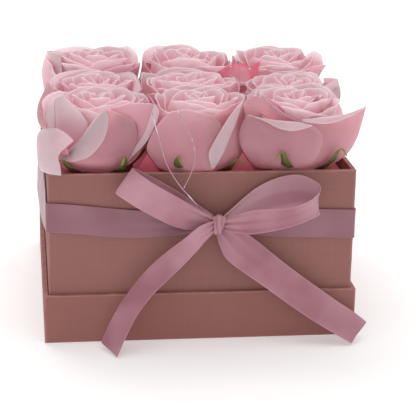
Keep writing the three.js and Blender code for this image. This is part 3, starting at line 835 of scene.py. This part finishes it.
def drape_middle_right(add):
    """An outer petal that stands off at the side, with a square corner, and a small one at the other side."""
    corner = [(19, -9, 94), (24, -8, 101.2), (28.4, -7, 107.6), (29.6, -7, 113.7), (28.9, -7, 120),
              (27, -7, 128.4)]
    add([(14, -15, 94), (17, -16, 101.2), (18, -17, 110.3), (18, -17, 117), (17.6, -15, 125.4)], corner,
        seed=14, rows=30, flip=True, radius=60)
    add(corner,
        [(13, 13, 94), (18, 13, 101), (21, 11, 110), (22.4, 9, 119), (21.6, 7, 125)], seed=27, rows=30,
        radius=200)
    add([(-16, -18, 92), (-25, -21, 100), (-31, -22.5, 108), (-34, -23, 115), (-33, -22, 122)],
        [(-8, -20, 92), (-14, -24, 100), (-18, -25.5, 108), (-21, -25.4, 115), (-24, -23.6, 122.5)],
        seed=28)


def drape_back_left(add):
    """An outer petal whose corner rises to a point at the side."""
    add([(-10, -18, 92), (-14, -19, 100), (-16, -18, 112), (-16.6, -14, 121), (-17, -8, 128)],
        [(-16, -7, 90), (-20, -6, 100), (-21.6, -4, 110), (-21.6, -3, 116), (-22.6, -3, 121.6),
         (-24.4, -3, 128)],
        [(-13, 13, 92), (-17, 14, 100), (-20, 12, 112), (-21, 8, 122), (-21, 3, 127)], seed=15, rows=30)


DRAPES = {"front_left": drape_front_left, "front_centre": drape_front_centre,
          "front_right": drape_front_right, "middle_right": drape_middle_right, "back_left": drape_back_left}
TURNS = (12, 52, 29, 63, 36, 40, 23, 69, 46)  # how each rose is turned in its hole, degrees
# how far a rose's head leans to the right and spreads, mm, and how high it stands against the others
HEADS = {"front_right": (-0.7, -1.6, 1.0), "middle_left": (1.5, 0.0, 0.92), "middle_centre": (1.5, 1.5, 0.92),
         "middle_right": (4.0, 0.0, 0.87), "back_left": (2.5, 2.5, 1.0), "back_centre": (5.5, 0.0, 1.0),
         "back_right": (6.5, 0.0, 1.0)}
# the inner rings of petals: their sheet, profile, number, first azimuth and its play, first seed, how they
# are shaped, and the ranges that the rest of their shape is drawn from
RINGS = (
    ("inner_petals", INNER, 4, 10, 9, 30, dict(low=(104, 121, 0.4), crush=0.9, ripple=1.3, stagger=1.4),
     dict(width=(36, 42), middle=(110, 114), top=(124.5, 127), cup=(0.95, 1.1), lip=(0.5, 1.6))),
    ("bud", HEART, 3, 50, 12, 40, dict(low=(108, 124, 0.4), crush=0.7, ripple=1.0, stagger=1.3),
     dict(width=(30, 34), middle=(111, 115), top=(125.5, 127.4), cup=(0.95, 1.05), lip=(0.3, 1.2))),
    ("bud", CORE, 3, 0, 12, 50, dict(low=(110, 125, 0.5), crush=0.4, ripple=0.6, stagger=1.2),
     dict(width=(18, 21), middle=(112, 115), top=(125.6, 127.6), cup=(0.9, 1.0), lip=(0.2, 0.7))))


def make_rose(name, column, row, turn, seed):
    """A rose: loose outer petals, two rings of ruffled ones inside them, and the tightly rolled bud."""
    body = name + "_rose"
    rose = (column, row)
    rng = np.random.default_rng(seed)
    seed *= 10

    def vary(**ranges):
        return {key: low + (high - low) * rng.uniform() for key, (low, high) in ranges.items()}

    def roll():
        return ROLLS[int(rng.integers(len(ROLLS)))]

    sheets = {kind: Sheet() for kind in PETALS}
    outer, middle = sheets["outer_petals"], sheets["middle_petals"]
    own, around = SIDES.get(name, (None, [turn + 72 * k for k in range(5)]))
    if own:
        petal(outer, rose, seed=seed, **own)
    if name in DRAPES:
        DRAPES[name](partial(drape, outer, rose))
    for k, azimuth in enumerate(around):
        azimuth += rng.uniform(-7, 7)
        petal(outer, rose, azimuth, OUTER, seed=seed + 5 + k, folds=roll(), low=(86, 100, 0.4),
              tip=rng.uniform(0, 0.06), square=2.5,
              top=122.8 - 2.4 * math.cos(math.radians(azimuth)) + rng.uniform(-0.8, 0.8),
              **vary(width=(42, 47), middle=(105, 109), cup=(1.05, 1.3), lip=(0.4, 1.2)))
    for k in range(4):
        azimuth = turn + 40 + 90 * k + rng.uniform(-9, 9)
        petal(middle, rose, azimuth, MIDDLE, seed=seed + 20 + k, folds=roll() if row >= 0 else (),
              low=(98, 118, 0.4), crush=0.9, ripple=1.3, square=2.2, stagger=1.4,
              top=124.4 - 1.2 * math.cos(math.radians(azimuth)) + rng.uniform(-1, 1),
              **vary(width=(46, 52), middle=(108, 112), cup=(1.0, 1.15), lip=(0.5, 1.6)))
    for kind, profile, count, first, play, number, how, ranges in RINGS:
        for k in range(count):
            petal(sheets[kind], rose, turn + first + 360 // count * k + rng.uniform(-play, play), profile,
                  seed=seed + number + k, square=2.2, **how, **vary(**ranges))
    for k in range(2):
        petal(sheets["bud"], rose, turn + 60 + 180 * k, WRAP, width=11, middle=112, top=127.2,
              seed=seed + 60 + k, low=(114, 129, 0.7), crush=0.2, ripple=0.2, stagger=0.8, cup=0.9,
              lip=0.2, grid=10)
    lean, spread, tall = HEADS.get(name, (0.0, 0.0, 1.0))
    for kind, sheet in sheets.items():
        if row >= 0 or kind != "outer_petals":
            for points in sheet.points:
                aside = (points[:, 0] - column * PITCH) / (PITCH / 2)
                points[:, 0] += (lean + spread * aside) * smooth(points[:, 2], RIM, RIM + 31)
                points[:, 2] = np.where(points[:, 2] > RIM, RIM + (points[:, 2] - RIM) * tall, points[:, 2])
        piece = sheet.make(f"{name}_{kind}_soap", PETALS[kind], 0.5, inside=PETAL_INSIDE)
        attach(piece, body)
        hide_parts(f"{body}_{kind}")


# the front roses' sepals: azimuth, how far each stands off the petals, mm, and its height against a plain one
SEPALS = {"front_left": ((-38, 4, 1), (22, 5, 1.2), (96, 0, 1), (168, 0, 1), (240, 0, 1)),
          "front_centre": ((-26, 5, 1.25), (36, 2.4, 1), (105, 0, 1), (180, 0, 1), (-105, 0, 1)),
          "front_right": ((-20, 5.5, 1.5), (29, 3.5, 1.5), (100, 0, 1), (172, 0, 1), (-100, 0, 1))}


def make_calyx(name, column, row, turn, seed):
    """A moulded cup with five curled sepals, on the peg that stands in the insert."""
    sheet = Sheet()
    rng = np.random.default_rng(seed + 500)
    # the cup and its peg, as (radius, height), mm
    cup = np.array([(0.3, 70.4), (3.3, 70.4), (4.0, 71.4), (4.0, 84.3), (8.6, 84.35), (13.0, 84.9),
                    (16.4, 86.2), (18.0, 88.0), (17.5, 88.4), (15.6, 87.0), (12.4, 85.9), (8.0, 85.3),
                    (0.3, 85.2)])
    angles = np.linspace(0, 2 * math.pi, 41)[:-1]
    ribs = 1 + 0.02 * np.cos(10 * angles)[:, None] * smooth(cup[:, 0], 8, 14)[None]
    x = column * PITCH + cup[:, 0] * ribs * np.sin(angles)[:, None]
    y = row * PITCH - cup[:, 0] * ribs * np.cos(angles)[:, None]
    z = np.broadcast_to(cup[:, 1], x.shape)
    points = np.stack([x, y, z], -1).transpose(1, 0, 2)
    sheet.grid(points[:, ::-1], (0, 0), closed=True, tip=0.0)
    places = SEPALS.get(name) or [(turn + 20 + 72 * k, 0, 1) for k in range(5)]
    for azimuth, out, tall in places:
        azimuth += rng.uniform(-3, 3)
        high, side = tall * rng.uniform(10.4, 12.4), rng.choice((-1, 1)) * rng.uniform(4.0, 6.0)
        t = np.linspace(0, 1, 21)[:, None]
        w = np.linspace(-1, 1, 7)[None, :]
        half = 4.4 * (1 - t) ** 1.9 + 0.35 + 0.5 * np.sin(9 * t) ** 2 * (1 - t)
        height = 86.4 + high * np.sin(1.9 * t) - 3.4 * smooth(t, 0.72, 1.0)
        follow, _, _, _ = FRONT.at(FRONT.along[np.searchsorted(FRONT.line[:PROFILE_STEPS, 1], height)])
        r = np.maximum(follow, 16.5) + 2.0 + out * smooth(t, 0.0, 0.4) + 3.4 * smooth(t, 0.6, 1.0)
        across = half * w + side * t**2.5
        r = r - 0.7 * np.abs(w) * (1 - t) + 0.3 * np.cos(3 * w)
        angle = math.radians(azimuth) + across / r
        x = column * PITCH + r * np.sin(angle)
        y = row * PITCH - r * np.cos(angle)
        z = np.broadcast_to(height, x.shape)
        wall = 77.3 + 9.0 * smooth(z, RIM + 0.3, RIM + 3.5)  # the inside of the box, free above its rim
        xyz = np.stack([np.clip(x, -wall, wall), np.clip(y, -wall, wall), z], -1)
        sheet.grid(xyz, grid_of(w, t), tip=t)
    piece = sheet.make(f"{name}_calyx_plastic", SEPAL, 0.45)
    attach(piece, name + "_rose")
    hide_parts(f"{name}_rose_calyx")


def make_roses():
    for k, turn in enumerate(TURNS):
        row, column = divmod(k, 3)
        name = ("front", "middle", "back")[row] + "_" + ("left", "centre", "right")[column]
        for make in (make_calyx, make_rose):
            make(name, column - 1, row - 1, turn, seed=k + 1)


# ---- hot-pink curl
def make_curl():
    """A crumpled end of translucent hot-pink satin, puffed out between two deep creases."""
    sheet = Sheet()
    add = partial(drape, sheet, (0.03, 0))
    puff = dict(radius=9.0, low=PLAIN, crush=0.5, ripple=0.8)
    crease = dict(radius=9.0, low=(126, 130, 1.0), crush=0.3, ripple=0.6, span=5)
    add([(25.4, 27, 112), (25, 26.4, 117), (25.8, 27, 121.8), (29.4, 28, 124.4)],
        [(31.6, 24, 112), (31.8, 22.6, 117), (31.9, 23.2, 121.8), (31.9, 27, 125.4)],
        [(38, 27, 112), (38.8, 26.4, 117), (37.8, 27, 121.8), (34.2, 28, 124.4)], seed=21, **puff)
    sheet.values["low"][-1] = smooth(sheet.values["edge"][-1], 0.35, 1.0)  # deep pink along its border
    add([(20.4, 27, 121), (21.8, 26, 117), (23.6, 25.6, 112)],
        [(25, 28, 124), (25.2, 27, 119), (26, 26.4, 112)], seed=22, **crease)
    add([(37.6, 26, 124), (38.6, 25, 119), (38.4, 24.6, 112)],
        [(44, 28.5, 126), (43, 26.6, 120), (41.4, 26.2, 113)], seed=23, **crease)
    piece = sheet.make("curl_satin", CURL_SATIN, 0.2)
    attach(piece, "back_right_rose")
    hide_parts("satin_curl")


make_camera()
make_tinsel()
make_studio()
paint("base_lid", LID_PAPER)
paint("box_body", BOX_PAPER)
paint("insert_card", INSERT_CARD)
make_ribbon()
make_roses()
make_curl()
